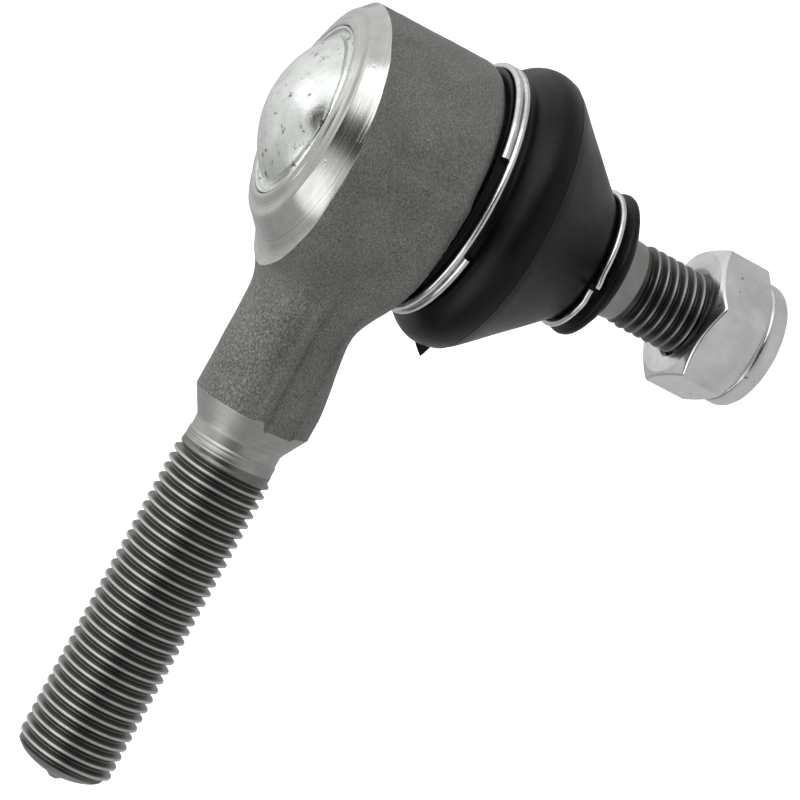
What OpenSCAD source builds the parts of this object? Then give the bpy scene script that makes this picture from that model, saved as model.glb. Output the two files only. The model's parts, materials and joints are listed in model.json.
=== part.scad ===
// Tie rod end: a forged housing with a threaded shank, a ball stud in a
// plastic bearing shell, a rubber boot with two wire rings and a lock nut.
// The origin lies on the shank's axis at the last full thread. +X points to
// the shank's free end, +Z from the ball towards the closing cap.

/* [Shank] */
// Distance from the ball's centre to the last full thread of the shank
shank_reach = 92; // [91:1:110]
// Major diameter of the shank's thread
shank_thread_d = 14; // [13:0.5:15]
// Length of the shank's thread
shank_thread_l = 46; // [35:0.5:47]
// Diameter of the relief between the thread and the forging
shank_relief_d = 12.6; // [11:0.1:12.8]
// Diameter of the forged neck
neck_d = 16.8; // [15:0.1:17]

/* [Housing] */
// Outer diameter of the forged eye
eye_d = 35.8; // [35.4:0.1:37]
// Height of the eye's forged skin above the ball's centre
eye_top = 10.2; // [9.6:0.1:10.6]
// Depth of the eye's forged skin below the ball's centre
eye_bottom = 7.2; // [7:0.1:7.4]
// Height of the rolled lip above the ball's centre
lip_top = 13.8; // [13.6:0.1:14.2]
// Height of the cap's dome above the ball's centre
cap_top = 18.2; // [18.1:0.1:18.6]

/* [Ball stud] */
// Diameter of the ball
ball_d = 22; // [21.8:0.1:22]
// Diameter of the stud's neck under the ball
stud_neck_d = 10.6; // [9:0.1:10.8]
// Major diameter of the stud's thread
stud_thread_d = 12; // [11.6:0.1:12]
// Depth of the stud's tip below the ball's centre
stud_tip = 56.2; // [54:0.1:56.2]

/* [Boot] */
// Outer diameter of the boot's bulge
boot_d = 40.8; // [40:0.1:42]
// Wall thickness of the boot
boot_wall = 1.5; // [1.2:0.1:1.6]
// Depth of the boot's lip below the ball's centre
boot_lip = 34.2; // [33.8:0.1:34.6]

/* [Lock nut] */
// Width of the nut across its flats
nut_flats = 19; // [18:0.5:19]
// Height of the nut with its collar
nut_h = 12; // [11.5:0.1:12.5]
// Turn of the hexagon about the stud, in degrees
nut_turn = 79; // [0:1:90]

/* [Hidden] */
$fn = 96;
tiny = 0.03;       // gap between pieces that bear on each other
running = 0.05;    // radial clearance of a running fit
over = 1;          // how far a cutter runs past the face it cuts

eye_r = eye_d / 2;
eye_edge_r = 2;                 // rounding of the eye's lower corner
neck_r = neck_d / 2;
thread_start = shank_reach - shank_thread_l;
shank_chamfer = 1.2;            // chamfer at the shank's free end
cone_start = 38.8;              // where turning of the forged neck begins
cone_end = 42.3;
groove_start = 43.9;
groove_d = 13.2;
web_start = 11;                 // centre of the wide end of the neck's root
web_end = 24;                   // where the root has run out into the neck
web_r = 9.4;                    // half width of the root beyond its rounding

ball_r = ball_d / 2;
shell_r = 13;                   // outer radius of the bearing shell
shell_top = 7;
shell_bottom = 6;
shell_taper = 3;                // depth where the shell's outside tapers in
bore_top = 11.4;                // depth of the cap's seat
cap_r = 13.2;
cap_rim_h = 1.7;                // thickness of the rim under the rolled lip
lip_in_r = 12.2;                // edge of the rolled lip on the cap
mouth_r = 10.2;                 // mouth of the socket under the shell
mouth_z = 7.2;
shell_slope = (shell_r - mouth_r) / (mouth_z - shell_taper);
spigot_bottom = 13.2;           // lower face of the boot's spigot
spigot_r = 16.8;
spigot_groove_r = 15.4;
spigot_groove_bottom = 11.8;
spigot_mouth_r = 13.6;
seat_r = 18.7;                  // turned clear round the boot's large ring
seat_floor = 9;                 // depth to which the neck's root is turned away

cap_dome_r = 10.7;              // radius of the dome at its foot
cap_wall = 1.5;
cap_rise = cap_top - (lip_top - 0.1);
cap_sphere = (cap_dome_r * cap_dome_r + cap_rise * cap_rise) / (2 * cap_rise);
cap_centre = cap_top - cap_sphere;

pad_top = 12.95;
pad_bottom = 7.3;
pad_r = 9;
spring_in_r = 2.8;
spring_out_r = 7.5;
spring_t = 0.7;
spring_rise = 0.7;

stud_shoulder = 21.5;           // large end of the taper
stud_taper_end = 37.7;          // small end of the taper, where thread begins
stud_small_r = stud_thread_d / 2 - 0.25;
taper_slope = 1 / 20;           // change of radius along a 1 in 10 taper

boot_r = boot_d / 2;
boot_bulge_z = 15.5;            // depth of the bulge's widest circle
boot_round = 4.2;               // radius of the bulge's outside
boot_collar_r = 9.2;            // outside of the boot under the small ring
boot_flange_r = 10.5;
small_ring_z = 30.6;
large_ring_z = 9.4;
large_ring_pitch = 1.15;
large_seat_r = 17;              // outside of the rubber under the large ring
wire_r = 0.55;
small_wire_r = 0.5;

nut_face = 47.5;                // bearing face of the nut
nut_collar_r = 8.9;
nut_collar_h = 3.6;
insert_out_r = 7.6;
insert_h = 2.6;
nut_lip = 0.6;                  // collar rolled in over the insert

// Points of an arc from angle a to b about (x, y), in n steps.
function arc(x, y, r, a, b, n = 12) =
    [for (i = [0:n]) let (t = a + (b - a) * i / n) [x + r * cos(t), y + r * sin(t)]];

// Radius of the stud's taper at depth z below the ball's centre.
function taper_r(z) = stud_small_r + (stud_taper_end - z) * taper_slope;

// Places a piece that is drawn about the ball's centre.
module at_ball() {
    translate([-shank_reach, 0, 0]) children();
}

// Turns an outline of (distance, radius) about the shank's axis.
module along_shank() {
    rotate([0, 90, 0]) rotate([0, 0, 90]) rotate_extrude() children();
}

// Forged eye, neck and threaded shank in one piece.
module housing() {
    color("#6b6b68") at_ball() difference() {
        union() {
            eye();
            neck_root();
            shank();
        }
        socket();
        boot_seat();
    }
}

// The eye: forged skin, turned chamfer and lip above, boot spigot below.
module eye() {
    rotate_extrude() polygon(concat(
        [
            [0, lip_top], [lip_in_r + 1, lip_top], [lip_in_r + 2, lip_top - 0.7],
            [eye_r - 0.4, eye_top + 0.6], [eye_r, eye_top]
        ],
        arc(eye_r - eye_edge_r, -eye_bottom + eye_edge_r, eye_edge_r, 0, -90),
        [
            [spigot_groove_r, -eye_bottom],
            [spigot_groove_r, -spigot_groove_bottom],
            [spigot_r, -spigot_groove_bottom - 0.5],
            [spigot_r, -spigot_bottom + 0.4],
            [spigot_r - 0.4, -spigot_bottom],
            [0, -spigot_bottom]
        ]
    ));
}

// Where the neck spreads into the eye.
module neck_root() {
    hull() {
        for (side = [-1, 1])
            translate([web_start, side * web_r / 2, 0]) rotate([0, 90, 0])
                cylinder(h = 0.1, r = neck_r - 0.3, $fn = 32);
        translate([web_end, 0, 0]) rotate([0, 90, 0])
            cylinder(h = 0.1, r = neck_r - 0.3, $fn = 32);
    }
}

// The neck, the turned cone, relief and grooves, and the thread's outside.
module shank() {
    thread_r = shank_thread_d / 2;
    along_shank() polygon([
        [0, web_start],
        [neck_r, web_start],
        [neck_r, cone_start],
        [shank_relief_d / 2, cone_end],
        [shank_relief_d / 2, groove_start],
        [groove_d / 2, groove_start + 0.3],
        [groove_d / 2, thread_start - 0.3],
        [thread_r, thread_start],
        [thread_r, shank_reach],
        [thread_r - shank_chamfer, shank_reach + shank_chamfer],
        [0, shank_reach + shank_chamfer]
    ]);
}

// The room for the shell, pad, spring and cap, and the mouth for the stud.
module socket() {
    rotate_extrude() polygon([
        [0, lip_top + over],
        [lip_in_r + tiny, lip_top + over],
        [lip_in_r + tiny, bore_top + cap_rim_h + tiny],
        [cap_r + tiny, bore_top + cap_rim_h + tiny],
        [cap_r + tiny, bore_top],
        [shell_r, bore_top],
        [shell_r, -shell_taper],
        [mouth_r, -mouth_z],
        [spigot_mouth_r, -spigot_bottom],
        [spigot_mouth_r, -spigot_bottom - over],
        [0, -spigot_bottom - over]
    ]);
}

// The room turned in the neck's root for the boot's rim and large ring.
module boot_seat() {
    rotate_extrude() translate([spigot_groove_r, -seat_floor])
        square([seat_r - spigot_groove_r, seat_floor - eye_bottom]);
}

// Pressed steel cap: a flat rim, a groove and a shallow dome.
module closing_cap() {
    rim_top = bore_top + cap_rim_h;
    inside = cap_sphere - cap_wall;
    color("#b9bdb6") at_ball() difference() {
        union() {
            translate([0, 0, bore_top + tiny]) cylinder(h = cap_rim_h - tiny, r = cap_r);
            translate([0, 0, rim_top - tiny])
                cylinder(h = lip_top - 0.1 - rim_top + tiny, r = lip_in_r - tiny);
            intersection() {
                translate([0, 0, cap_centre]) sphere(r = cap_sphere);
                translate([0, 0, rim_top]) cylinder(h = cap_top, r = cap_dome_r);
            }
        }
        translate([0, 0, lip_top - 0.1])
            rotate_extrude() translate([cap_dome_r + 0.35, 0]) circle(r = 0.7);
        intersection() {
            translate([0, 0, cap_centre]) sphere(r = inside);
            translate([0, 0, 0]) cylinder(h = cap_top, r = cap_dome_r - cap_wall);
        }
    }
}

// Disc spring that presses the pad onto the ball.
module preload_spring() {
    bottom = pad_top + tiny;
    color("#8d9094") at_ball() rotate_extrude() polygon([
        [spring_in_r, bottom],
        [spring_out_r, bottom + spring_rise],
        [spring_out_r, bottom + spring_rise + spring_t],
        [spring_in_r, bottom + spring_t]
    ]);
}

// Plastic pad with a hollow that fits the top of the ball.
module pressure_pad() {
    color("#e8e4d8") at_ball() difference() {
        rotate_extrude() polygon([
            [0, pad_bottom],
            [pad_r, pad_bottom],
            [pad_r, pad_top - 2.5],
            [pad_r - 2, pad_top],
            [0, pad_top]
        ]);
        sphere(r = ball_r + running);
    }
}

// Plastic shell round the ball, open below for the stud.
module bearing_shell() {
    color("#f0ede2") at_ball() difference() {
        rotate_extrude() polygon([
            [0, shell_top],
            [shell_r - tiny, shell_top],
            [shell_r - tiny, -shell_taper + tiny],
            [shell_r - tiny - (shell_bottom - shell_taper) * shell_slope, -shell_bottom],
            [0, -shell_bottom]
        ]);
        sphere(r = ball_r + running);
    }
}

// Ball, neck, taper and thread of the stud.
module ball_stud() {
    thread_r = stud_thread_d / 2;
    neck = stud_neck_d / 2;
    color("#c9ccd0") at_ball() union() {
        sphere(r = ball_r);
        rotate_extrude() polygon([
            [0, -ball_r / 2],
            [neck, -ball_r / 2],
            [neck, -stud_shoulder + 5],
            [taper_r(stud_shoulder), -stud_shoulder],
            [stud_small_r, -stud_taper_end],
            [thread_r, -stud_taper_end - 0.3],
            [thread_r, -stud_tip + 1],
            [thread_r - 1, -stud_tip],
            [0, -stud_tip]
        ]);
    }
}

// Rubber boot: a bead in the spigot's groove, a bulge, a cone and a lip.
module dust_boot() {
    cone_top = [boot_r - boot_round + boot_round * cos(-38),
                -boot_bulge_z + boot_round * sin(-38)];
    bore = tiny + running;
    color("#262626") at_ball() rotate_extrude() polygon(concat(
        [
            [spigot_groove_r + bore, -eye_bottom - 0.3],
            [large_seat_r + 0.2, -eye_bottom - 0.3],
            [large_seat_r, -large_ring_z + 1.6],
            [large_seat_r, -large_ring_z - 1.5]
        ],
        arc(boot_r - boot_round, -boot_bulge_z, boot_round, 30, -38),
        [
            [boot_collar_r + 0.5, -small_ring_z + 1.1],
            [boot_collar_r, -small_ring_z + 0.6],
            [boot_collar_r, -small_ring_z - 0.6],
            [boot_flange_r, -small_ring_z - 1.4],
            [boot_flange_r, -small_ring_z - 2.5],
            [boot_collar_r - 0.4, -boot_lip],
            [taper_r(boot_lip) + bore, -boot_lip],
            [taper_r(small_ring_z - 2) + bore, -small_ring_z + 2],
            [taper_r(small_ring_z - 2) + 2, -small_ring_z + 3.2]
        ],
        arc(boot_r - boot_round, -boot_bulge_z, boot_round - boot_wall, -38, 30),
        [
            [spigot_r + 0.3, -spigot_groove_bottom - 0.6],
            [spigot_groove_r + bore, -spigot_groove_bottom + 0.1]
        ]
    ));
}

// Two close turns of spring wire round the boot's large end.
module boot_ring_large() {
    seat = large_seat_r + running + wire_r;
    color("#c4c7c6") at_ball() rotate_extrude() union() {
        for (turn = [-0.5, 0.5])
            translate([seat, -large_ring_z + turn * large_ring_pitch]) circle(r = wire_r);
        translate([seat - wire_r / 2, -large_ring_z - large_ring_pitch / 2])
            square([wire_r, large_ring_pitch]);
    }
}

// Spring wire ring round the boot's small end.
module boot_ring_small() {
    color("#c4c7c6") at_ball() rotate_extrude()
        translate([boot_collar_r + running + small_wire_r, -small_ring_z])
            circle(r = small_wire_r);
}

// Hexagon nut with a round collar that holds the insert.
module lock_nut() {
    thread_r = stud_thread_d / 2;
    flat_r = nut_flats / 2;
    corner_r = flat_r / cos(30);
    hex_h = nut_h - nut_collar_h;
    color("#d6d9dc") at_ball() translate([0, 0, -nut_face - nut_h]) difference() {
        union() {
            cylinder(h = nut_collar_h + over, r = nut_collar_r);
            translate([0, 0, nut_collar_h]) intersection() {
                rotate([0, 0, nut_turn - 30]) cylinder(h = hex_h, r = corner_r, $fn = 6);
                rotate_extrude() polygon([
                    [0, 0],
                    [flat_r, 0],
                    [corner_r + 0.1, 0.9],
                    [corner_r + 0.1, hex_h - 0.9],
                    [flat_r - 0.2, hex_h],
                    [0, hex_h]
                ]);
            }
        }
        translate([0, 0, -over]) cylinder(h = nut_h + 2 * over, r = thread_r + running);
        translate([0, 0, nut_h - 0.6])
            cylinder(h = 0.6 + tiny, r1 = thread_r, r2 = thread_r + 0.7);
        translate([0, 0, nut_lip]) cylinder(h = insert_h + 2 * tiny, r = insert_out_r);
        translate([0, 0, -over]) cylinder(h = nut_lip + 2 * over, r = insert_out_r - 0.6);
    }
}

// Nylon ring inside the nut's collar.
module nut_insert() {
    color("#dfe6ee") at_ball() translate([0, 0, -nut_face - nut_h + nut_lip + tiny])
        difference() {
            cylinder(h = insert_h, r = insert_out_r - tiny);
            translate([0, 0, -over])
                cylinder(h = insert_h + 2 * over, r = stud_thread_d / 2 + running);
        }
}

housing();
closing_cap();
preload_spring();
pressure_pad();
bearing_shell();
ball_stud();
dust_boot();
boot_ring_large();
boot_ring_small();
lock_nut();
nut_insert();
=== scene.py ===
"""Tie rod end: a forged housing with a threaded shank, a ball stud, a rubber boot with two wire rings, and a
lock nut.

Everything is in metres in the frame of the CAD model. Sizes in the sections are in millimetres from the
ball's centre: +Z points to the closing cap and +X along the shank to its free end.
"""

import json
import math

import bmesh
import bpy
import numpy as np
from mathutils import Matrix, Vector


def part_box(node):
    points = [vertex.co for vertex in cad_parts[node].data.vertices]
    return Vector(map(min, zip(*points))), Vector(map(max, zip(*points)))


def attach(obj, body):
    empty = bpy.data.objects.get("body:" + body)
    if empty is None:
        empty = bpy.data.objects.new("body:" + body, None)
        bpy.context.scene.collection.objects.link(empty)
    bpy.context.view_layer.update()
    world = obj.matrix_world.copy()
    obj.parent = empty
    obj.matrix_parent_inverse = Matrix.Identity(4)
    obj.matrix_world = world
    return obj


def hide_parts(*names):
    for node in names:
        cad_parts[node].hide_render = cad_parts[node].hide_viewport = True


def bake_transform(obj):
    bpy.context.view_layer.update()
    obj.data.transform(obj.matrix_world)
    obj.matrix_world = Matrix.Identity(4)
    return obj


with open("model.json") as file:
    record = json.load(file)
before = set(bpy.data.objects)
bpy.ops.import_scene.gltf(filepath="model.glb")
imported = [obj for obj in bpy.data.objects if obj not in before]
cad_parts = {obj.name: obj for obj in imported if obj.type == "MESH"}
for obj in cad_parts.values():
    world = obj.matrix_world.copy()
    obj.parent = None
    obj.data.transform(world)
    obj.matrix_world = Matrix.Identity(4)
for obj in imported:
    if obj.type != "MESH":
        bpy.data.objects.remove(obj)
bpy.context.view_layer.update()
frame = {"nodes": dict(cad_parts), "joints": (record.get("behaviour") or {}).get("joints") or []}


# Housing. One steel forging: an eye for the ball, a neck, and a shank with a rolled M14 x 1.5 left-hand
# thread. The skin is shot-blasted; the lip's chamfer, the boot's seat, the socket, the cone and the relief
# are turned afterwards, and the lip is rolled over the closing cap.
MM = 0.001
BALL = np.array(frame["joints"][0]["pos_m"], float)
# The eye: its forged radius, how far it stands towards the shank, how much flatter it is at the back, its
# draft, the middle and half of its height, and the rounding of its edges.
EYE_R = 18.3
EYE_SHIFT = 0.4
EYE_BACK = 1.05
EYE_DRAFT = 0.02
EYE_MIDDLE = 4.4
EYE_HALF = 11.6
EYE_ROUND = 2
EYE_FILLET = 5.6
# The neck: its top, its half width, the end of the blank, and the raised band of the parting line.
NECK_TOP = 8.3
NECK_WIDE = 8.4
BLANK_END = 43.7
BAND_OUT = 0.34
BAND_LOW = -4.9
BAND_HIGH = 0.3


def ease(t):
    """0 below 0 and 1 above 1, and 3 t^2 - 2 t^3 in between."""
    t = np.clip(t, 0, 1)
    return t * t * (3 - 2 * t)


def smooth_min(a, b, width):
    """The smaller of a and b, less a parabola where they differ by less than width."""
    h = np.maximum(width - np.abs(a - b), 0) / width
    return np.minimum(a, b) - h * h * width / 4


def ripple(p, size, seed):
    """A sum of nine sine waves in fixed directions, each about size long, between about -1 and 1."""
    random = np.random.default_rng(seed)
    ways = random.normal(size=(9, 3))
    ways *= (2 * math.pi / size) * random.uniform(0.6, 1.5, (9, 1)) / np.linalg.norm(ways, axis=1)[:, None]
    return np.sin(p @ ways.T + random.uniform(0, 6.28, 9)).sum(-1) / 4


def forging(p):
    """Distance from the forged skin, below 0 inside. The eye is a drafted cylinder with rounded edges, and
    is flatter at the back. A fillet joins it to the neck, whose section goes from an oval to a wider rounded
    rectangle at its root, and whose lower side dips between the eye and the shank. The parting line is a
    raised band with a ridge at its upper edge and a dip above it. Two ripples make the skin uneven."""
    x, y, z = p[..., 0], p[..., 1], p[..., 2]
    along = x - EYE_SHIFT
    out = np.hypot(along * np.where(along < 0, EYE_BACK, 1.0), y) - (EYE_R - EYE_DRAFT * z - EYE_ROUND)
    up = np.abs(z - EYE_MIDDLE) - (EYE_HALF - EYE_ROUND)
    corner = np.hypot(np.maximum(out, 0), np.maximum(up, 0))
    eye = corner + np.minimum(np.maximum(out, up), 0) - EYE_ROUND
    low = 6.95 + 1.45 * ease((x - 24) / 12)
    half = (NECK_TOP + low) / 2
    wide = NECK_WIDE + 5.2 * ease((26 - x) / 17)
    full = 2 + 1.6 * ease((24 - x) / 10)
    across = np.abs(y / wide) ** full + np.abs((z - (NECK_TOP - low) / 2) / half) ** full
    neck = (across ** (1 / full) - 1) * half
    raised = ease((z - BAND_LOW) / 0.5) * ease((BAND_HIGH - z) / 0.5)
    dip = 0.9 * np.exp(-(((z - BAND_HIGH - 0.6) / 0.7) ** 2))
    ridge = 0.5 * np.exp(-(((z - BAND_HIGH + 0.45) / 0.4) ** 2))
    neck = neck + BAND_OUT * (raised - dip + ridge) * ease((x - 17) / 4)
    neck = np.maximum(np.maximum(neck, x - BLANK_END), 4 - x)
    return smooth_min(eye, neck, EYE_FILLET) + 0.035 * ripple(p, 7, 1) + 0.016 * ripple(p, 2.2, 2)


def net(distance, low, high, step):
    """Quads on the surface where distance is 0. Each cell of a cubic grid that the surface crosses has one
    point, at the mean of the crossings on its edges. The point is then moved onto the surface along the
    gradient g by d g / |g|^2, four times."""
    axes = [np.arange(a, b, step) for a, b in zip(low, high)]
    grid = np.stack(np.meshgrid(*axes, indexing="ij"), -1)
    value = distance(grid)
    inside = value < 0
    cells = [n - 1 for n in value.shape]
    total = np.zeros(cells + [3])
    count = np.zeros(cells)
    crossed = []
    for axis in range(3):
        near = tuple(slice(0, -1) if k == axis else slice(None) for k in range(3))
        far = tuple(slice(1, None) if k == axis else slice(None) for k in range(3))
        cross = inside[near] != inside[far]
        share = np.where(cross, value[near] / (value[near] - value[far] + 1e-12), 0)
        point = grid[near].copy()
        point[..., axis] += share * step
        u, v = (axis + 1) % 3, (axis + 2) % 3
        for a in (0, 1):
            for b in (0, 1):
                part = [slice(None)] * 3
                part[u] = slice(a, a + cells[u])
                part[v] = slice(b, b + cells[v])
                part = tuple(part)
                total += point[part] * cross[part][..., None]
                count += cross[part]
        crossed.append((axis, u, v, cross, inside[near]))
    used = count > 0
    number = np.full(cells, -1)
    number[used] = np.arange(used.sum())
    points = total[used] / count[used][:, None]
    quads = []
    for axis, u, v, cross, solid in crossed:
        edge = np.argwhere(cross)
        corners = []
        for a, b in ((-1, -1), (0, -1), (0, 0), (-1, 0)):
            cell = edge.copy()
            cell[:, u] += a
            cell[:, v] += b
            corners.append(number[tuple(cell.T)])
        quad = np.stack(corners, 1)
        turn = ~solid[tuple(edge.T)]
        quad[turn] = quad[turn][:, ::-1]
        quads.append(quad)
    nudge = 0.04
    for _ in range(4):
        change = [distance(points + nudge * e) - distance(points - nudge * e) for e in np.eye(3)]
        g = np.stack(change, 1) / (2 * nudge)
        points = points - g * (distance(points) / np.maximum((g * g).sum(1), 0.05))[:, None]
    return points, np.concatenate(quads)


def make_mesh(name, points, faces, merge=True, sharp=32):
    """A mesh object from points in millimetres about the ball's centre. Points that coincide are merged,
    which closes seams and poles, the faces are turned outwards, and edges over sharp degrees stay sharp."""
    mesh = bpy.data.meshes.new(name)
    mesh.from_pydata((np.asarray(points, float) * MM + BALL).tolist(), [], np.asarray(faces).tolist())
    obj = bpy.data.objects.new(name, mesh)
    bpy.context.scene.collection.objects.link(obj)
    if merge:
        work = bmesh.new()
        work.from_mesh(mesh)
        bmesh.ops.remove_doubles(work, verts=work.verts, dist=2e-7)
        bmesh.ops.dissolve_degenerate(work, edges=work.edges, dist=1e-8)
        bmesh.ops.recalc_face_normals(work, faces=work.faces)
        work.to_mesh(mesh)
        work.free()
    finish_mesh(obj, sharp)
    return obj


def finish_mesh(obj, sharp):
    """Smooth shading, with the edges that turn by more than sharp degrees kept sharp."""
    mesh = obj.data
    mesh.polygons.foreach_set("use_smooth", np.ones(len(mesh.polygons), bool))
    mesh.set_sharp_from_angle(angle=math.radians(sharp))
    mesh.update()


def sheet_faces(rows, columns, close_rows=False, close_columns=False):
    """Quads of a grid whose point (i, j) is number i * columns + j. A closed direction joins its last line
    to its first."""
    i = np.arange(rows if close_rows else rows - 1)[:, None]
    j = np.arange(columns if close_columns else columns - 1)[None, :]
    down, right = (i + 1) % rows, (j + 1) % columns
    quad = [i * columns + j, i * columns + right, down * columns + right, down * columns + j]
    return np.stack([np.broadcast_to(q, (i.size, j.size)) for q in quad], -1).reshape(-1, 4)


def round_z(r, angle, z):
    """The point at radius r, angle and height z about the stud's axis."""
    r, angle, z = np.broadcast_arrays(r, angle, z)
    return np.stack([r * np.cos(angle), r * np.sin(angle), z], -1)


def round_x(r, angle, x):
    """The point at radius r, angle and distance x about the shank's axis. The angle goes from +Y to +Z."""
    r, angle, x = np.broadcast_arrays(r, angle, x)
    return np.stack([x, r * np.cos(angle), r * np.sin(angle)], -1)


def plain_rows(rows, angle, about):
    """For each (radius, distance), one ring of points round the axis."""
    return [about(np.full_like(angle, r), angle, np.full_like(angle, d)) for r, d in rows]


def turned(name, profile, about=round_z, steps=160, sharp=32, closed=True):
    """A turned solid: each (radius, distance) of the profile carried round the axis. A closed profile joins
    its last point to its first."""
    profile = np.asarray(profile, float)
    angle = np.linspace(0, 2 * math.pi, steps, endpoint=False)
    points = about(profile[:, :1], angle[None, :], profile[:, 1:])
    faces = sheet_faces(len(profile), steps, closed, True)
    return make_mesh(name, points.reshape(-1, 3), faces, sharp=sharp)


def screw(before, start, end, pitch, hand, crest, root, blank, chamfer, after, about, steps, fade):
    """A screw's surface, with plain rows of (radius, distance) before and after its thread.
    At angle t the thread's row (n, s) lies at start + pitch (n + s + hand t / 2 pi), held between start and
    end, so that every row climbs with the thread. Its radius is the thread's profile at s: a rounded root,
    straight flanks 60 degrees apart, and a narrow crest with the shallow seam of thread rolling. It eases
    from the blank's radius over the first fade, and never stands above the chamfer line."""
    # The rows of one turn: their shares of the pitch, and their heights from root (0) to crest (1).
    share = np.array([0, 0.07, 0.12, 0.265, 0.41, 0.435, 0.46, 0.5, 0.54, 0.565, 0.59, 0.735, 0.88, 0.93])
    height = np.array([0, 0.035, 0.11, 0.53, 0.95, 0.99, 1.0, 0.93, 1.0, 0.99, 0.95, 0.53, 0.11, 0.035])
    turns = int(math.ceil((end - start) / pitch)) + 1
    angle = np.linspace(0, 2 * math.pi, steps + 1)
    place = (np.arange(-1, turns)[:, None] + share[None, :]).ravel()
    tall = np.tile(root + (crest - root) * height, turns + 1)
    x = start + pitch * (place[:, None] + hand * angle[None, :] / (2 * math.pi))
    if hand < 0:
        x = x + pitch
    x = np.clip(x, start, end)
    r = blank + (tall[:, None] - blank) * ease((x - start) / fade)
    r = np.minimum(r, chamfer(x))
    thread = about(r, angle[None, :], x)
    points = np.concatenate([plain_rows(before, angle, about), thread, plain_rows(after, angle, about)])
    return points, sheet_faces(len(points), steps + 1)


def boolean(obj, tool, operation):
    """Applies a boolean of obj with tool, and removes the tool."""
    modifier = obj.modifiers.new("join", "BOOLEAN")
    modifier.operation = operation
    modifier.solver = "MANIFOLD"
    modifier.object = tool
    bpy.context.view_layer.update()
    done = bpy.data.meshes.new_from_object(obj.evaluated_get(bpy.context.evaluated_depsgraph_get()))
    obj.modifiers.clear()
    obj.data = done
    done.name = obj.name
    bpy.data.objects.remove(tool)


skin_points, skin_faces = net(forging, low=(-20, -20, -9.6), high=(45, 20, 17.5), step=0.45)
housing = make_mesh("forged_housing", skin_points, skin_faces, merge=False)

# Profiles of the cutting tools, as (radius, height) about the stud's axis. The first turns the tongue over
# the neck's root, the chamfer, the rolled lip, the cap's seat, the socket and the boot's opening.
lip_and_socket = [
    (0, 22), (34, 22), (34, 10.5), (21.5, 9.4), (20.6, 9.1), (19.8, 9.0), (18.9, 9.2), (18.2, 9.72),
    (17.2, 10.85), (15.7, 12.3), (15.4, 12.66), (15.15, 12.86), (14.9, 12.93), (14.5, 12.92), (14.1, 12.98),
    (13.75, 13.14), (13.4, 13.42), (13.15, 13.64), (12.95, 13.76), (12.8, 13.8), (12.55, 13.8),
    (12.36, 13.72), (12.25, 13.55), (12.23, 13.13), (13.23, 13.13), (13.23, 11.4), (13, 11.4), (13, -3),
    (10.2, -7.2), (13.6, -13.2), (13.6, -20), (0, -20),
]
spigot = [
    (14.6, -6.6), (15.4, -6.6), (15.4, -11.8), (16.8, -12.3), (16.8, -12.8), (16.4, -13.2), (13.4, -13.2),
    (10.6, -8.2), (11.5, -6.6),
]
boot_seat = [(14.9, -7.2), (18.1, -7.2), (18.7, -7.5), (18.7, -12), (14.9, -12)]
# The neck's cone and the relief before the thread, as (radius, distance) about the shank's axis.
CONE_R = 8.3
CONE_START = 38.8
cone_slope = (6.3 - CONE_R) / 3.5
neck_turning = [
    (14.0, CONE_START + (14 - CONE_R) / cone_slope), (CONE_R, CONE_START), (6.55, 41.87), (6.35, 42.25),
    (6.3, 42.6), (6.3, 50), (14.0, 50),
]
boolean(housing, turned("tool", boot_seat, steps=256), "DIFFERENCE")
boolean(housing, turned("tool", spigot, steps=256), "UNION")
boolean(housing, turned("tool", lip_and_socket, steps=256), "DIFFERENCE")
boolean(housing, turned("tool", neck_turning, about=round_x, steps=192), "DIFFERENCE")

# The shank: its thread, and its rounded end with a small pip in the middle.
SHANK_R = 7.0
SHANK_ROOT_R = 6.1
RELIEF_R = 6.5
THREAD_START = 45.7
THREAD_PITCH = 1.5
ROUND_START = 91.7
SHANK_END = 93.1
END_DOME = 1.5
PIP_OUT = 0.8
PIP_R = 1.3


def shank_chamfer(x):
    """The radius of the rounded end: the crest's, less a term that grows as the power 1.5 of the distance
    from where the rounding starts."""
    return SHANK_R + 0.02 - 1.25 * np.maximum((x - ROUND_START) / 1.4, 0) ** 1.5


shank_before = [
    (0, 41.0), (5.0, 41.0), (6.1, 43.4), (6.3, 43.9), (6.42, 44.05), (6.46, 44.3), (6.4, 44.45),
    (6.46, 44.6), (6.4, 44.8), (6.46, 45.0), (6.42, 45.2), (RELIEF_R, 45.4), (RELIEF_R, THREAD_START),
]
shank_after = [
    (r, SHANK_END + END_DOME * (1 - (r / 5.85) ** 2.2))
    for r in (5.7, 5.5, 5.2, 4.8, 4.2, 3.6, 3.0, 2.4, 1.8, 1.2, 0.6, 0)
]
shank_points, shank_faces = screw(
    shank_before, THREAD_START, SHANK_END - 0.1, THREAD_PITCH, hand=-1, crest=SHANK_R, root=SHANK_ROOT_R,
    blank=RELIEF_R, chamfer=shank_chamfer, after=shank_after, about=round_x, steps=104, fade=THREAD_PITCH,
)
shank_points = shank_points.reshape(-1, 3)
from_axis = np.hypot(shank_points[:, 1], shank_points[:, 2])
on_dome = shank_points[:, 0] > SHANK_END + 0.2
shank_points[:, 0] += on_dome * PIP_OUT * np.exp(-((from_axis / PIP_R) ** 3))
boolean(housing, make_mesh("tool", shank_points, shank_faces), "UNION")
finish_mesh(housing, 32)


def new_material(name, **values):
    """A material whose Principled shader holds these values, as (material, node tree, shader)."""
    material = bpy.data.materials.new(name)
    material.use_nodes = True
    tree = material.node_tree
    shader = tree.nodes["Principled BSDF"]
    for key, value in values.items():
        shader.inputs[key.replace("_", " ")].default_value = value
    return material, tree, shader


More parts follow.
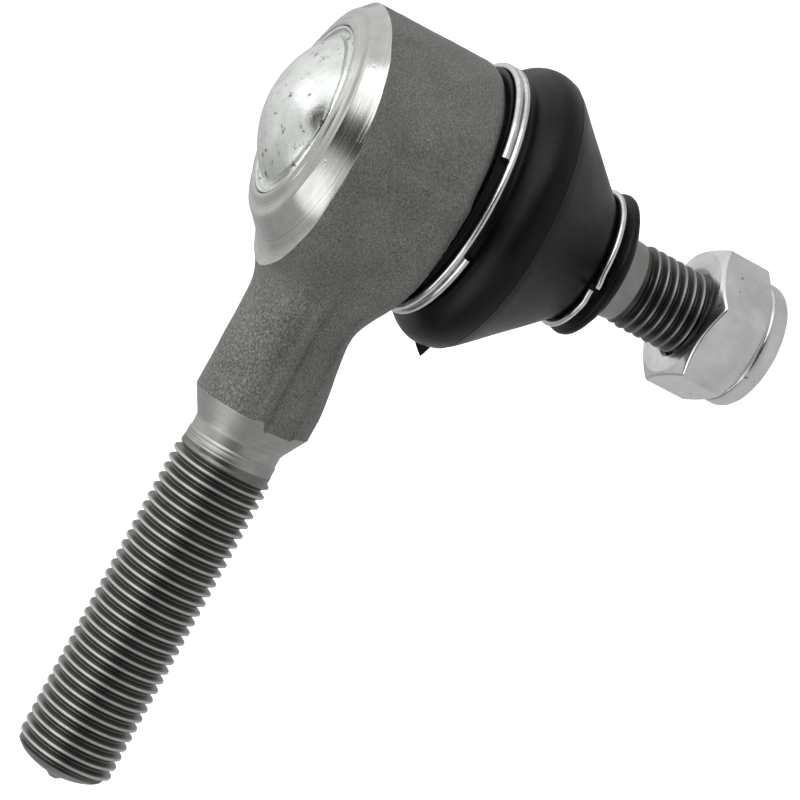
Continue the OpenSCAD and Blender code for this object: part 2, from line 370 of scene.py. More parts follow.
def add(tree, kind, inputs=None, **settings):
    """Adds a node of this kind. An input is given by its name or number, as a value or as the socket that
    it reads."""
    made = tree.nodes.new("ShaderNode" + kind)
    for key, value in settings.items():
        setattr(made, key, value)
    for key, value in (inputs or {}).items():
        if isinstance(value, bpy.types.NodeSocket):
            tree.links.new(value, made.inputs[key])
        else:
            made.inputs[key].default_value = value
    return made


def place_from_ball(tree):
    """Object coordinates, in metres from the ball's centre."""
    here = add(tree, "TexCoord").outputs["Object"]
    return add(tree, "VectorMath", {0: here, 1: tuple(-BALL)}, operation="ADD").outputs[0]


def ramp(tree, value, stops):
    """A colour ramp of (position, colour or grey) stops."""
    made = add(tree, "ValToRGB", {"Fac": value})
    elements = made.color_ramp.elements
    while len(elements) < len(stops):
        elements.new(0.5)
    for element, (at, colour) in zip(elements, stops):
        element.position = at
        element.color = (*colour, 1) if isinstance(colour, tuple) else (colour, colour, colour, 1)
    return made.outputs["Color"]


def noise(tree, vector, scale, detail=2.0, rough=0.5):
    """Noise on a place, with scale in turns per metre."""
    inputs = {"Vector": vector, "Scale": scale, "Detail": detail, "Roughness": rough}
    return add(tree, "TexNoise", inputs).outputs[0]


def bump(tree, height, distance, strength=1.0, normal=None):
    """A bump of this height in metres."""
    inputs = {"Height": height, "Distance": distance, "Strength": strength}
    if normal is not None:
        inputs["Normal"] = normal
    return add(tree, "Bump", inputs).outputs[0]


def mix(tree, share, a, b, blend="MIX"):
    """Colour a where share is 0 and b where it is 1."""
    return add(tree, "MixRGB", {0: share, 1: a, 2: b}, blend_type=blend).outputs[0]


def feed(shader, name, socket):
    """Makes an input of the shader read this socket."""
    shader.id_data.links.new(socket, shader.inputs[name])


def forged_skin():
    """Shot-blasted forging: dark warm grey with a sandy grain and light specks, coarser on the neck's upper
    side."""
    material, tree, shader = new_material("forged_skin", Metallic=0.55, Roughness=0.55)
    place = place_from_ball(tree)
    grain = noise(tree, place, 4300, 3, 0.65)
    cloud = noise(tree, place, 170, 4, 0.6)
    specks = ramp(tree, noise(tree, place, 4200, 1), [(0.70, 0.0), (0.80, 0.8)])
    base = ramp(tree, grain, [(0.3, (0.088, 0.0865, 0.0815)), (0.72, (0.26, 0.255, 0.24))])
    base = mix(tree, 0.45, base, ramp(tree, cloud, [(0.3, 0.33), (0.7, 0.62)]), "OVERLAY")
    apart = add(tree, "SeparateXYZ", {0: place})
    on_neck = add(tree, "MapRange", {0: apart.outputs["X"], 1: 0.017, 2: 0.026}).outputs[0]
    on_top = add(tree, "MapRange", {0: apart.outputs["Z"], 1: 0.0005, 2: 0.003}).outputs[0]
    coarse_side = add(tree, "Math", {0: on_neck, 1: on_top}, operation="MULTIPLY").outputs[0]
    sand = ramp(tree, noise(tree, place, 2700, 4, 0.75), [(0.42, 0.30), (0.6, 0.74)])
    base = mix(tree, coarse_side, base, mix(tree, 0.8, base, sand, "OVERLAY"))
    base = mix(tree, specks, base, (0.5, 0.49, 0.47, 1))
    feed(shader, "Base Color", base)
    feed(shader, "Roughness", ramp(tree, grain, [(0.3, 0.66), (0.7, 0.44)]))
    coarse = bump(tree, noise(tree, place, 2000, 3, 0.65), 0.00006, 0.9)
    feed(shader, "Normal", bump(tree, grain, 0.00004, 0.9, coarse))
    return material


def reach(tree, place, about):
    """The length of what is left of a place when each coordinate is multiplied by that of the about vector:
    (1, 1, 0) gives the distance from the stud's axis, and (0, 0, 1) the height."""
    part = add(tree, "VectorMath", {0: place, 1: about}, operation="MULTIPLY").outputs[0]
    return add(tree, "VectorMath", {0: part}, operation="LENGTH").outputs["Value"]


def turned_steel(name, about, base, rough, mark):
    """Turned steel: fine grooves as noise on the reach of the about vector alone, with soft stains and a few
    pits. The grooves' depth is mark, in metres."""
    material, tree, shader = new_material(name, Metallic=1.0, Roughness=rough)
    place = place_from_ball(tree)
    along = add(tree, "CombineXYZ", {0: reach(tree, place, about)}).outputs[0]
    groove = noise(tree, along, 5200, 3, 0.7)
    broad = noise(tree, along, 1300, 2, 0.6)
    stain = noise(tree, place, 260, 4, 0.6)
    colour = ramp(tree, groove, [(0.25, tuple(0.6 * c for c in base)), (0.75, base)])
    colour = mix(tree, 0.35, colour, ramp(tree, stain, [(0.35, 0.35), (0.65, 0.6)]), "OVERLAY")
    feed(shader, "Base Color", colour)
    pits = ramp(tree, noise(tree, place, 900, 1), [(0.2, 0.0), (0.26, 1.0)])
    wide = bump(tree, broad, mark * 2.2, 0.6)
    fine = bump(tree, groove, mark, 0.9, wide)
    feed(shader, "Normal", bump(tree, pits, 0.00003, 0.5, fine))
    return material


def thread_steel_painted_light(name, about, root, crest, dark, bright):
    """Rolled thread: painted shade in the root and a painted highlight on the crest, by the reach of the
    about vector, which is the distance from the screw's axis."""
    material, tree, shader = new_material(name, Metallic=1.0, Roughness=0.36)
    place = place_from_ball(tree)
    radius = reach(tree, place, about)
    share = add(tree, "MapRange", {0: radius, 1: root * MM, 2: crest * MM}).outputs[0]
    # Painted shade: darker towards the root. Painted highlight: brighter on the crest.
    colour = ramp(tree, share, [(0.0, dark), (0.8, tuple(1.7 * c for c in dark)), (0.94, bright)])
    stain = noise(tree, place, 420, 3, 0.6)
    colour = mix(tree, 0.3, colour, ramp(tree, stain, [(0.3, 0.35), (0.7, 0.62)]), "OVERLAY")
    feed(shader, "Base Color", colour)
    feed(shader, "Normal", bump(tree, noise(tree, place, 2600, 3, 0.6), 0.00002, 0.6))
    return material


def mark_faces(obj, *tests):
    """Gives each face the last material whose test is true of its centre, in millimetres from the ball."""
    mesh = obj.data
    centre = np.empty(len(mesh.polygons) * 3)
    mesh.polygons.foreach_get("center", centre)
    centre = (centre.reshape(-1, 3) - BALL) / MM
    index = np.zeros(len(centre), np.int32)
    for number, test in enumerate(tests, 1):
        index[test(centre)] = number
    mesh.polygons.foreach_set("material_index", index)


# The lower edge of the turned metal, as heights LIP_Z at radii LIP_R, just under the cut.
LIP_R = [13.9, 14.9, 15.5, 17.2, 18.2, 18.9, 19.8, 20.6, 21.5]
LIP_Z = [12.95, 12.86, 12.45, 10.81, 9.68, 9.16, 8.96, 9.06, 9.3]


def on_chamfer(c):
    """True on the chamfer, the lip, the socket and the boot's seat."""
    r = np.hypot(c[:, 0], c[:, 1])
    above = c[:, 2] > np.interp(r, LIP_R, LIP_Z)
    below = (c[:, 2] < -7.15) & (r < 18.8)
    return ((above & (r < 26)) | (r < 14.2) | below) & (c[:, 0] < 30)


def on_cone(c):
    """True on the turned end of the neck."""
    r = np.hypot(c[:, 1], c[:, 2])
    return (c[:, 0] > 30) & (r > CONE_R + cone_slope * (c[:, 0] - CONE_START) - 0.03)


def on_thread(c):
    """True on the shank's thread and its run-out."""
    return c[:, 0] > THREAD_START - 0.3


def on_end(c):
    """True on the rounded end of the shank."""
    r = np.hypot(c[:, 1], c[:, 2])
    rounded = (c[:, 0] > ROUND_START + 0.2) & (r > shank_chamfer(c[:, 0]) - 0.04)
    return (c[:, 0] > SHANK_END - 0.2) | rounded


ABOUT_STUD = (1, 1, 0)
ABOUT_SHANK = (0, 1, 1)
# The thread's colours are painted light: painted shade in the root and a painted highlight on the crest.
THREAD_ROOT_PAINTED_SHADE = (0.13, 0.128, 0.121)
THREAD_CREST_PAINTED_HIGHLIGHT = (0.54, 0.54, 0.53)
housing.data.materials.clear()
for finish in (
    forged_skin(),
    turned_steel("turned_lip", ABOUT_STUD, (0.58, 0.58, 0.56), rough=0.18, mark=0.000018),
    turned_steel("turned_neck", ABOUT_SHANK, (0.44, 0.44, 0.425), rough=0.42, mark=0.000005),
    thread_steel_painted_light("shank_thread_painted_light", ABOUT_SHANK, SHANK_ROOT_R, SHANK_R, THREAD_ROOT_PAINTED_SHADE, THREAD_CREST_PAINTED_HIGHLIGHT),
    turned_steel("rolled_end", ABOUT_SHANK, (0.36, 0.36, 0.345), rough=0.42, mark=0.000003),
):
    housing.data.materials.append(finish)
mark_faces(housing, on_chamfer, on_cone, on_thread, on_end)
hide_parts("housing")
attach(housing, "housing")


# Bearing shell, and under the cap the pressure pad. Both are moulded in acetal, and hold the ball without
# play. They are inside the closed eye and keep the shape of the CAD model.
def moulded_plastic(name, colour, rough):
    """Moulded plastic: an even colour with a faint cloud, and a fine tool-made grain."""
    material, tree, shader = new_material(name, Roughness=rough)
    place = place_from_ball(tree)
    cloud = noise(tree, place, 220, 3)
    feed(shader, "Base Color", ramp(tree, cloud, [(0.3, tuple(0.9 * c for c in colour)), (0.7, colour)]))
    feed(shader, "Normal", bump(tree, noise(tree, place, 1800, 2), 0.00002, 0.5))
    return material


def paint_node(name, material):
    """Gives a CAD node that stays one material."""
    mesh = frame["nodes"][name].data
    mesh.materials.clear()
    mesh.materials.append(material)


acetal = moulded_plastic("acetal", (0.80, 0.77, 0.68), rough=0.38)
paint_node("bearing_shell", acetal)
paint_node("pressure_pad", acetal)


# Preload spring. A stamped disc of spring steel between the pad and the cap, bright from tumbling. It
# presses the pad onto the ball, and keeps the shape of the CAD model.
disc_steel = turned_steel("disc_spring", ABOUT_STUD, (0.5, 0.5, 0.52), rough=0.3, mark=0.000004)
paint_node("preload_spring", disc_steel)


# Closing cap. Pressed from sheet steel, with a flat rim, a round groove and a shallow dome, and zinc plated.
# It is pitted and scuffed from tumbling, and the lip is rolled over its rim.
CAP_TOP = (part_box("closing_cap")[1].z - BALL[2]) / MM
CAP_BASE = (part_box("closing_cap")[0].z - BALL[2]) / MM
DOME_FOOT = 10.7
RIM = 13.7
SHEET = 1.5
GROOVE_R = 11.12
GROOVE_ROUND = 0.62


def sphere_line(radius, centre, r):
    """Heights at radii r of the upper side of a sphere whose centre is at this height."""
    return centre + np.sqrt(np.maximum(radius**2 - r**2, 0))


rise = CAP_TOP - RIM
dome_r = (DOME_FOOT**2 + rise**2) / (2 * rise)
outside = np.linspace(0, 10.45, 34)
inside = np.linspace(9.2, 0, 16)
groove_turn = np.radians(np.linspace(150, 350, 18))
cap_line = np.concatenate([
    np.stack([outside, sphere_line(dome_r, CAP_TOP - dome_r, outside)], 1),
    np.stack([
        GROOVE_R + GROOVE_ROUND * np.cos(groove_turn), RIM - 0.02 + GROOVE_ROUND * np.sin(groove_turn),
    ], 1),
    [(11.85, 13.66), (11.98, 13.71), (12.1, 13.7), (12.17, 13.62), (12.19, 13.5), (12.19, 13.1)],
    [(13.2, 13.1), (13.2, CAP_BASE), (9.2, CAP_BASE)],
    np.stack([inside, sphere_line(dome_r - SHEET, CAP_TOP - dome_r, inside)], 1),
])
cap = turned("pressed_cap", cap_line, steps=192, sharp=40, closed=False)


def zinc_cap():
    """Dull zinc plate: pale grey with a hint of green, small pits and soft scuffs."""
    material, tree, shader = new_material("dull_zinc", Metallic=1.0, Roughness=0.3)
    place = place_from_ball(tree)
    cloud = noise(tree, place, 190, 5, 0.65)
    colour = ramp(tree, cloud, [(0.3, (0.52, 0.545, 0.52)), (0.68, (0.78, 0.8, 0.775))])
    spots = ramp(tree, noise(tree, place, 780, 3, 0.7), [(0.33, 1.0), (0.39, 0.0)])
    feed(shader, "Base Color", mix(tree, spots, colour, (0.16, 0.16, 0.15, 1)))
    feed(shader, "Roughness", ramp(tree, cloud, [(0.3, 0.34), (0.7, 0.15)]))
    dents = bump(tree, noise(tree, place, 330, 3, 0.6), 0.00012, 0.45)
    feed(shader, "Normal", bump(tree, noise(tree, place, 1500, 3, 0.6), 0.00003, 0.6, dents))
    return material


cap.data.materials.append(zinc_cap())
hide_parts("closing_cap")
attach(cap, "housing")


# Ball stud. Turned from one bar: a ball, a neck, a 1 in 10 taper for the steering arm, and a rolled
# M12 x 1.5 right-hand thread for the nut.
BALL_R = 11.0
STUD_NECK_R = 5.3
TAPER_END = 37.9
STUD_R = 6.0
STUD_ROOT_R = 5.16
STUD_BLANK_R = 5.66
STUD_PITCH = 1.5
STUD_TIP = (BALL[2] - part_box("ball_stud")[0].z) / MM


def round_down(r, angle, depth):
    """The point at radius r, angle and depth under the ball's centre, turning with a right-hand screw."""
    r, angle, depth = np.broadcast_arrays(r, angle, depth)
    return np.stack([r * np.cos(angle), -r * np.sin(angle), -depth], -1)


def stud_chamfer(depth):
    """The radius of the tip's 45 degree chamfer."""
    return STUD_TIP - depth + 4.95


def on_stud_thread(c):
    """True on the stud's thread."""
    return c[:, 2] < -TAPER_END


# The ball, the neck and the taper, as (radius, depth).
polar = np.radians(np.linspace(0, 149, 54))
stud_before = [(BALL_R * math.sin(a), -BALL_R * math.cos(a)) for a in polar]
stud_before += [
    (5.42, 9.75), (STUD_NECK_R, 10.4), (STUD_NECK_R, 16.4), (5.5, 17.6), (6.3, 20.6), (6.5, 21.3),
    (6.54, 21.9),
]
stud_before += [(5.75 + (37.7 - d) / 20, d) for d in np.linspace(22.5, 37.2, 12)]
stud_before += [(5.74, 37.6), (STUD_BLANK_R, TAPER_END)]
stud_after = [(4.9, STUD_TIP), (3.2, STUD_TIP), (1.6, STUD_TIP), (0, STUD_TIP)]
stud_points, stud_faces = screw(
    stud_before, TAPER_END, STUD_TIP - 0.06, STUD_PITCH, hand=1, crest=STUD_R, root=STUD_ROOT_R,
    blank=STUD_BLANK_R, chamfer=stud_chamfer, after=stud_after, about=round_down, steps=96, fade=STUD_PITCH,
)
stud = make_mesh("turned_stud", stud_points.reshape(-1, 3), stud_faces)
# On the stud the grooves are noise on the height, so that they run round the ball and the taper.
BY_HEIGHT = (0, 0, 1)
for finish in (
    turned_steel("ground_stud", BY_HEIGHT, (0.33, 0.33, 0.32), rough=0.3, mark=0.000014),
    # The stud's thread: painted shade in the root and a painted highlight on the crest.
    thread_steel_painted_light("stud_thread_painted_light", ABOUT_STUD, STUD_ROOT_R, STUD_R, (0.05, 0.05, 0.048), (0.27, 0.27, 0.262)),
):
    stud.data.materials.append(finish)
mark_faces(stud, on_stud_thread)
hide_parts("ball_stud")
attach(stud, "stud")


# Dust boot. Moulded in black rubber, with a bead in the housing's groove, a bulge, a cone and a lip that
# turns on the stud. The mould parts just below the bulge, and leaves a small flash nub there.
SPLIT = 16.1
BULGE = np.array([16.2, 15.2, 4.2])
RUBBER = 1.5
MOULD_LINE = 17.0
NUB_OUT = 1.9
BOOT_STEPS = 216


def bulge_line(from_degrees, to_degrees, radius, count):
    """Points of an arc about the bulge's centre, as (radius, depth). 0 degrees points outwards."""
    a = np.radians(np.linspace(from_degrees, to_degrees, count))
    return np.stack([BULGE[0] + radius * np.cos(a), BULGE[1] + radius * np.sin(a)], 1)


def along_line(a, b, count):
    """Points evenly spaced from a to b, without b."""
    return np.array(a) + (np.array(b) - np.array(a)) * np.arange(count)[:, None] / count


def boot_shell(name, line):
    """A ring of rubber: each (radius, depth) of the closed line carried round, and moved out by a slow wave
    of 0.05. The outer skin also moves out by 0.08 in a narrow bell at the mould's line, and by up to NUB_OUT
    in a tent there on the shank's side, which is the flash nub. The steps are closest on that side."""
    t = np.linspace(-math.pi, math.pi, BOOT_STEPS, endpoint=False)
    angle = t - 0.72 * np.sin(t)
    wide = np.repeat(line[:, :1], BOOT_STEPS, 1)
    deep = np.repeat(line[:, 1:], BOOT_STEPS, 1)
    points = round_z(wide, angle[None, :], -deep)
    outer = ease((wide - 19.3) / 0.5)
    tent = np.clip(1 - np.abs(angle[None, :]) * 20 / 1.5 - np.abs(deep - MOULD_LINE - 0.1) / 1.7, 0, 1)
    seam = np.exp(-(((deep - MOULD_LINE) / 0.16) ** 2))
    out = 0.05 * ripple(points, 9, 5) + NUB_OUT * tent * outer + 0.08 * outer * seam
    flat_way = np.stack([np.cos(angle), np.sin(angle), 0 * angle], -1)[None]
    points = points + out[..., None] * flat_way
    faces = sheet_faces(len(line), BOOT_STEPS, True, True)
    return make_mesh(name, points.reshape(-1, 3), faces, sharp=50)


# The boot's section in two closed lines of (radius, depth), which meet at the split. The first is the bead
# and the bulge, and the second is the bulge's lower edge, the cone and the lip.
split_out = math.degrees(math.asin((SPLIT - BULGE[1]) / BULGE[2]))
split_in = math.degrees(math.asin((SPLIT - BULGE[1]) / (BULGE[2] - RUBBER)))
boot_upper_line = np.concatenate([
    [(15.5, 7.5), (16.6, 7.48), (17.05, 7.52), (17.22, 7.68), (17.18, 7.95), (17.02, 8.1)],
    along_line((17.0, 8.2), (17.0, 10.7), 6),
    [(17.02, 10.8), (17.12, 10.98), (17.5, 11.25)],
    bulge_line(-58, split_out, BULGE[2], 26),
    bulge_line(split_in, -50, BULGE[2] - RUBBER, 16),
    [(17.5, 12.75), (17.1, 12.42), (16.4, 12.1), (15.5, 11.72)],
    along_line((15.48, 11.0), (15.48, 7.7), 5),
])
boot_lower_line = np.concatenate([
    bulge_line(split_out, 36, BULGE[2], 12),
    along_line((19.3, 18.1), (9.95, 29.2), 34),
    [(9.75, 29.45), (9.5, 29.75), (9.28, 29.95), (9.2, 30.15), (9.2, 30.6), (9.2, 31.1), (9.3, 31.35)],
    [(9.7, 31.7), (10.2, 31.95), (10.45, 32.2), (10.52, 32.6), (10.42, 32.95), (10.1, 33.2), (9.5, 33.5)],
    [(8.9, 33.95), (8.5, 34.15)],
    along_line((8.2, 34.2), (6.02, 34.2), 4),
    [(6.0, 34.1), (6.1, 33.0), (6.3, 29.2), (6.55, 28.5), (7.4, 28.1)],
    along_line((8.4, 27.6), (17.9, 17.4), 26),
    bulge_line(40, split_in, BULGE[2] - RUBBER, 8),
])
boot_upper = boot_shell("boot_bulge", boot_upper_line)
boot_lower = boot_shell("boot_cone", boot_lower_line)


def boot_rubber():
    """Moulded black rubber, semi-matt, with a fine skin and a little grey bloom."""
    material, tree, shader = new_material("moulded_rubber", Roughness=0.35, Specular_IOR_Level=0.16)
    place = place_from_ball(tree)
    bloom = noise(tree, place, 130, 4, 0.6)
    feed(shader, "Base Color", ramp(tree, bloom, [(0.35, 0.002), (0.7, 0.006)]))
    feed(shader, "Roughness", ramp(tree, bloom, [(0.3, 0.30), (0.7, 0.42)]))
    skin = bump(tree, noise(tree, place, 2400, 3, 0.6), 0.00003, 0.5)
    specks = ramp(tree, noise(tree, place, 1100, 1), [(0.74, 0.0), (0.8, 1.0)])
    feed(shader, "Normal", bump(tree, specks, 0.00008, 0.5, skin))
    return material


# The rows list, for the bulge, the housing at its bead and the boot's own body at the split, and for the
# cone, that body at the split and the collar at its lip, with two depths clear of the split between which
# each would go over. Nothing reads these bodies and depths: each piece gets the rubber and has its place
# baked into its points.
BEND_START = 11.2
BEND_END = 29.5
SPLIT_GAP = 0.2
rubber = boot_rubber()
for piece, upper, lower, start, end in (
    (boot_upper, "housing", "boot", BEND_START * MM, SPLIT * MM - SPLIT_GAP * MM),
    (boot_lower, "boot", "boot_collar", SPLIT * MM + SPLIT_GAP * MM, BEND_END * MM),
):
    piece.data.materials.append(rubber)
    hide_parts("dust_boot")
    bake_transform(piece)


# Boot rings. Bright spring wire, cut square. The large ring is wound in nearly two close turns round the
# boot's rim, and the small one is a single turn whose ends meet beside each other.
def coil(name, radius, depth, pitch, start, end, wire, steps, skew=0.0):
    """Wire of round section along a helix: at angle a, in degrees, the centre is at the radius and at
    depth + pitch (a - middle) / 360. It steps aside by skew near its ends, down at the first and up at the
    last. Its cut ends are flat, with a small rounding."""
    a = np.radians(np.linspace(start, end, steps))
    share = (a - a.mean()) / (2 * math.pi)
    aside = skew * (ease(1 - (a - a[0]) / 0.25) - ease(1 - (a[-1] - a) / 0.25))
    # The wire's section at a cut end, as shares of its radius.
    cut = [0.0, 0.85, 0.97]
    index = [0] * 3 + list(range(1, steps - 1)) + [steps - 1] * 3
    a, share, aside = a[index], share[index], aside[index]
    size = wire * np.array(cut + [1.0] * (steps - 2) + cut[::-1])
    b = np.linspace(0, 2 * math.pi, 20, endpoint=False)
    r = radius + size[:, None] * np.cos(b)[None, :]
    z = -(depth + pitch * share + aside)[:, None] + size[:, None] * np.sin(b)[None, :]
    points = round_z(r, a[:, None], z)
    return make_mesh(name, points.reshape(-1, 3), sheet_faces(len(points), 20, False, True), sharp=40)


def wire_steel():
    """Bright drawn wire, with soft stains and a fine unevenness."""
    material, tree, shader = new_material("drawn_wire", Metallic=1.0, Roughness=0.22)
    place = place_from_ball(tree)
    stain = noise(tree, place, 500, 3, 0.6)
    feed(shader, "Base Color", ramp(tree, stain, [(0.3, (0.5, 0.51, 0.5)), (0.65, (0.72, 0.73, 0.72))]))
    feed(shader, "Normal", bump(tree, noise(tree, place, 2200, 2), 0.00002, 0.5))
    return material


wire = wire_steel()
large_ring = coil(
    "large_wire_ring", radius=17.6, depth=9.4, pitch=1.15, start=113.5, end=788.4, wire=0.55, steps=420,
)
small_ring = coil(
    "small_wire_ring", radius=9.75, depth=30.6, pitch=0.0, start=77, end=434, wire=0.5, steps=220, skew=0.32,
)
for ring, node_name, body in (
    (large_ring, "boot_ring_large", "housing"),
    (small_ring, "boot_ring_small", "boot_collar"),
):
    ring.data.materials.append(wire)
    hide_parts(node_name)
    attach(ring, body)


# Lock nut. Cold-formed steel with a 19 mm hexagon, chamfered at both ends, and a round collar rolled in
# over a nylon ring that grips the thread. Bright zinc plate.
nut_low, nut_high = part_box("lock_nut")
NUT_FACE = (BALL[2] - nut_high.z) / MM
NUT_END = (BALL[2] - nut_low.z) / MM
FLAT = 9.5
HEX_TURN = math.radians(79)
HEX_END = NUT_END - 3.6
BORE_R = 6.05
NUT_STEPS = 288


def hexagon(angle):
    """Radius of the hexagon at an angle, its corners rounded by the smooth_min of the two nearest sides."""
    t = (angle - HEX_TURN + math.pi / 6) % (math.pi / 3) - math.pi / 6
    side = FLAT / np.cos(t)
    other = FLAT / np.cos(math.pi / 3 - np.abs(t))
    return smooth_min(side, other, 0.5)


def under_ball(r, angle, depth):
    """The point at radius r, angle and depth under the ball's centre."""
    return round_z(r, angle, -depth)


def nut_surface():
    """Rows from the countersink over the face, the hexagon and the collar to the inside. On the hexagon the
    radius is the smaller of the hexagon's and that of a 30 degree cone at each end."""
    angle = np.linspace(0, 2 * math.pi, NUT_STEPS, endpoint=False)
    hexes = hexagon(angle)[None, :]
    ends = 1.35 * (np.linspace(0, 1, 16) ** 1.15)
    middle = np.linspace(NUT_FACE + 1.9, HEX_END - 1.9, 6)
    deep = np.concatenate([NUT_FACE + ends, middle, HEX_END - ends[::-1]])
    cone = 9.05 + np.minimum(deep - NUT_FACE, (HEX_END - deep) * 1.15 + 0.02) * 1.75
    body = smooth_min(np.broadcast_to(hexes, (len(deep), NUT_STEPS)), cone[:, None], 0.4)
    before = [
        (BORE_R, NUT_FACE + 1.0), (BORE_R, NUT_FACE + 0.75), (6.75, NUT_FACE + 0.04), (6.85, NUT_FACE),
        (8.2, NUT_FACE),
    ]
    after = [
        (9.0, HEX_END + 0.04), (8.92, HEX_END + 0.16), (8.93, HEX_END + 0.3), (9.08, HEX_END + 0.45),
        (9.18, HEX_END + 0.7), (9.2, NUT_END - 1.6), (9.1, NUT_END - 1.15), (8.88, NUT_END - 0.7),
        (8.55, NUT_END - 0.35), (8.1, NUT_END - 0.09), (7.7, NUT_END), (7.3, NUT_END - 0.02),
        (7.05, NUT_END - 0.12), (6.98, NUT_END - 0.35), (7.0, NUT_END - 0.58), (7.59, NUT_END - 0.6),
        (7.6, NUT_END - 3.25), (BORE_R, NUT_END - 3.3), (BORE_R, NUT_END - 5),
    ]
    sides = under_ball(body, angle[None, :], deep[:, None])
    points = np.concatenate([
        plain_rows(before, angle, under_ball), sides, plain_rows(after, angle, under_ball),
    ])
    return points.reshape(-1, 3), sheet_faces(len(points), NUT_STEPS, True, True)


nut = make_mesh("flanged_lock_nut", *nut_surface(), sharp=24)


def zinc_nut():
    """Bright zinc plate: pale with a slight blue, faintly clouded, with small nicks."""
    material, tree, shader = new_material("bright_zinc", Metallic=1.0, Roughness=0.27)
    place = place_from_ball(tree)
    cloud = noise(tree, place, 210, 4, 0.6)
    colour = ramp(tree, cloud, [(0.3, (0.53, 0.535, 0.535)), (0.7, (0.69, 0.695, 0.7))])
    nicks = ramp(tree, noise(tree, place, 640, 2, 0.6), [(0.27, 1.0), (0.32, 0.0)])
    feed(shader, "Base Color", mix(tree, nicks, colour, (0.2, 0.2, 0.2, 1)))
    feed(shader, "Roughness", ramp(tree, cloud, [(0.3, 0.27), (0.7, 0.16)]))
    uneven = bump(tree, noise(tree, place, 240, 3), 0.0001, 0.35)
    feed(shader, "Normal", bump(tree, noise(tree, place, 1700, 3), 0.00002, 0.5, uneven))
    return material


nut.data.materials.append(zinc_nut())
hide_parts("lock_nut")
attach(nut, "nut")

# The nylon ring keeps the shape of the CAD model.
paint_node("nut_insert", moulded_plastic("nylon", (0.72, 0.78, 0.84), rough=0.42))


# Floor, light and camera. A plain pale floor well under the part and an even studio, brightest above and
# behind the eye. The bright metal mirrors a dark gap overhead with a bright patch beside it, and another
# dark gap behind the camera with a bright ring round it.
FLOOR_DROP = 0.16
FLOOR_HALF = 9
floor_mesh = bpy.data.meshes.new("floor")
floor_z = BALL[2] - FLOOR_DROP
floor_corners = [(FLOOR_HALF * x, FLOOR_HALF * y, floor_z) for x, y in ((-1, -1), (1, -1), (1, 1), (-1, 1))]
floor_mesh.from_pydata(floor_corners, [], [(0, 1, 2, 3)])
floor = bpy.data.objects.new("floor", floor_mesh)
bpy.context.scene.collection.objects.link(floor)
floor_material, floor_tree, floor_shader = new_material(
    "pale_floor", Base_Color=(0.6, 0.6, 0.6, 1), Roughness=0.9, Emission_Color=(1, 1, 1, 1),
)
# The floor glows for the camera alone, so that it is white behind the part and lights nothing.
lit = add(floor_tree, "LightPath").outputs["Is Camera Ray"]
glow = add(floor_tree, "Math", {0: lit, 1: 0.8}, operation="MULTIPLY").outputs[0]
feed(floor_shader, "Emission Strength", glow)
floor_mesh.materials.append(floor_material)

world = bpy.data.worlds.new("studio")
bpy.context.scene.world = world
world.use_nodes = True
sky = world.node_tree
way = add(sky, "TexCoord").outputs["Generated"]


def patch(axis, inner, outer):
    """A share that is 1 within inner degrees of a direction, and falls to 0 at outer degrees."""
    axis = Vector(axis).normalized()
    near = add(sky, "VectorMath", {0: way, 1: tuple(axis)}, operation="DOT_PRODUCT").outputs["Value"]
    inputs = {0: near, 1: math.cos(math.radians(outer)), 2: math.cos(math.radians(inner))}
    return add(sky, "MapRange", inputs, interpolation_type="SMOOTHSTEP").outputs[0]


# Direction, inner and outer angle, and brightness of each patch, painted one over the other: the gradient,
# the bright patch beside the overhead gap, the ring round the camera's gap, and the two gaps.
AT_CAMERA = (-0.03, 0.95, 0.2)
light_up = (0.25, 0.25, 0.25, 1)
for axis, inner, outer, bright in (
    ((-0.75, -0.1, 0.65), 5, 150, 1.08),
    ((-0.3, -0.3, 1), 6, 24, 1.5),
    (AT_CAMERA, 40, 66, 1.05),
    ((0, 0.27, 1), 8, 17, 0.02),
    (AT_CAMERA, 26, 44, 0.03),
):
    light_up = mix(sky, patch(axis, inner, outer), light_up, (bright, bright, bright, 1))
seen = add(sky, "LightPath").outputs["Is Camera Ray"]
light_up = mix(sky, seen, light_up, (1.0, 1.0, 1.0, 1))
background = sky.nodes["Background"]
sky.links.new(light_up, background.inputs["Color"])

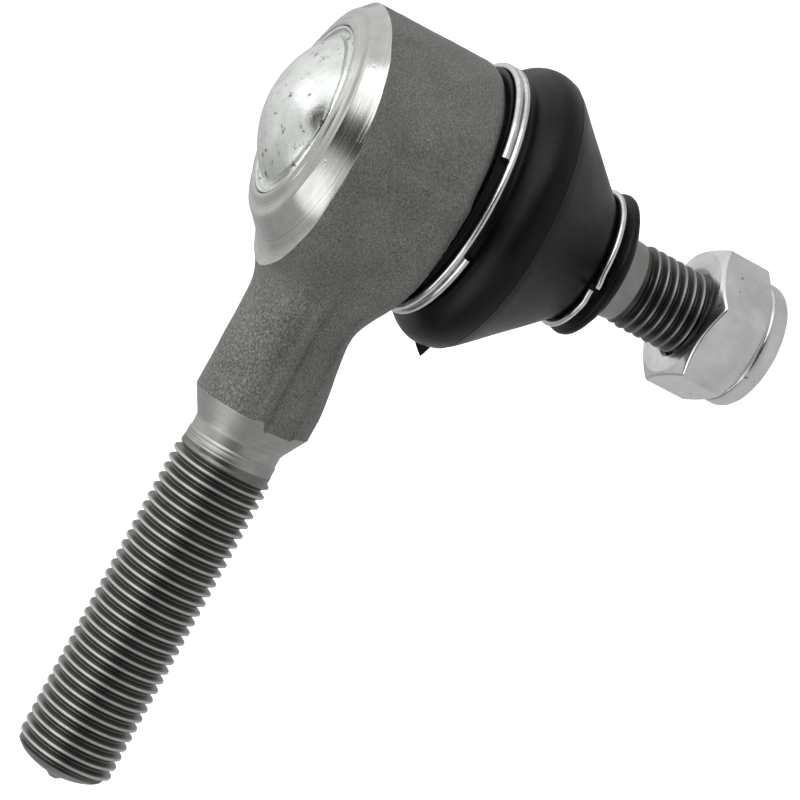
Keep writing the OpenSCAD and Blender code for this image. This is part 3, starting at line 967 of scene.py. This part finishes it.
# The camera stands on the +Y side, looks down by VIEW_HEIGHT degrees and is rolled by VIEW_ROLL degrees.
VIEW_AZIMUTH = -6.071
VIEW_HEIGHT = 19.932
VIEW_ROLL = 63.212
VIEW_DISTANCE = 0.4085
VIEW_TARGET = BALL + np.array([28.395, 0.0, -17.619]) * MM


def view_axes(azimuth, height, roll):
    """The camera's right, up and backward directions: it looks back along the direction at azimuth from +Y
    towards +X and at this height, and is rolled about it."""
    a, h, t = (math.radians(v) for v in (azimuth, height, roll))
    back = Vector((math.sin(a) * math.cos(h), math.cos(a) * math.cos(h), math.sin(h)))
    right = (-back).cross(Vector((0, 0, 1))).normalized()
    up = right.cross(-back)
    return right * math.cos(t) - up * math.sin(t), right * math.sin(t) + up * math.cos(t), back


camera = bpy.data.objects.new("camera", bpy.data.cameras.new("camera"))
bpy.context.scene.collection.objects.link(camera)
camera.data.lens = 136.24
camera.data.sensor_width = 36
camera.data.clip_start = 0.01
camera.data.clip_end = 60
right, up, back = view_axes(VIEW_AZIMUTH, VIEW_HEIGHT, VIEW_ROLL)
turn = Matrix((right, up, back)).transposed().to_4x4()
camera.matrix_world = Matrix.Translation(Vector(VIEW_TARGET) + back * VIEW_DISTANCE) @ turn
bpy.context.scene.camera = camera

# Two large soft lights, which face a point between the eye and the shank.
LIT_POINT = BALL + [0.03, 0, -0.015]


def soft_light(name, way_to, distance, size, power):
    """A square soft light that stands this way from the lit point and faces it."""
    data = bpy.data.lights.new(name, "AREA")
    data.shape = "SQUARE"
    data.size = size
    data.energy = power
    light = bpy.data.objects.new(name, data)
    bpy.context.scene.collection.objects.link(light)
    way_to = Vector(way_to).normalized()
    at = Vector(LIT_POINT) + way_to * distance
    light.matrix_world = Matrix.Translation(at) @ way_to.to_track_quat("Z", "Y").to_matrix().to_4x4()
    light.visible_camera = False


soft_light("key", (-0.62, 0.45, 0.62), distance=0.55, size=0.5, power=1.2)
soft_light("side", (0.75, 0.25, 0.75), distance=0.6, size=0.45, power=0.85)
bpy.context.scene.view_settings.view_transform = "Standard"
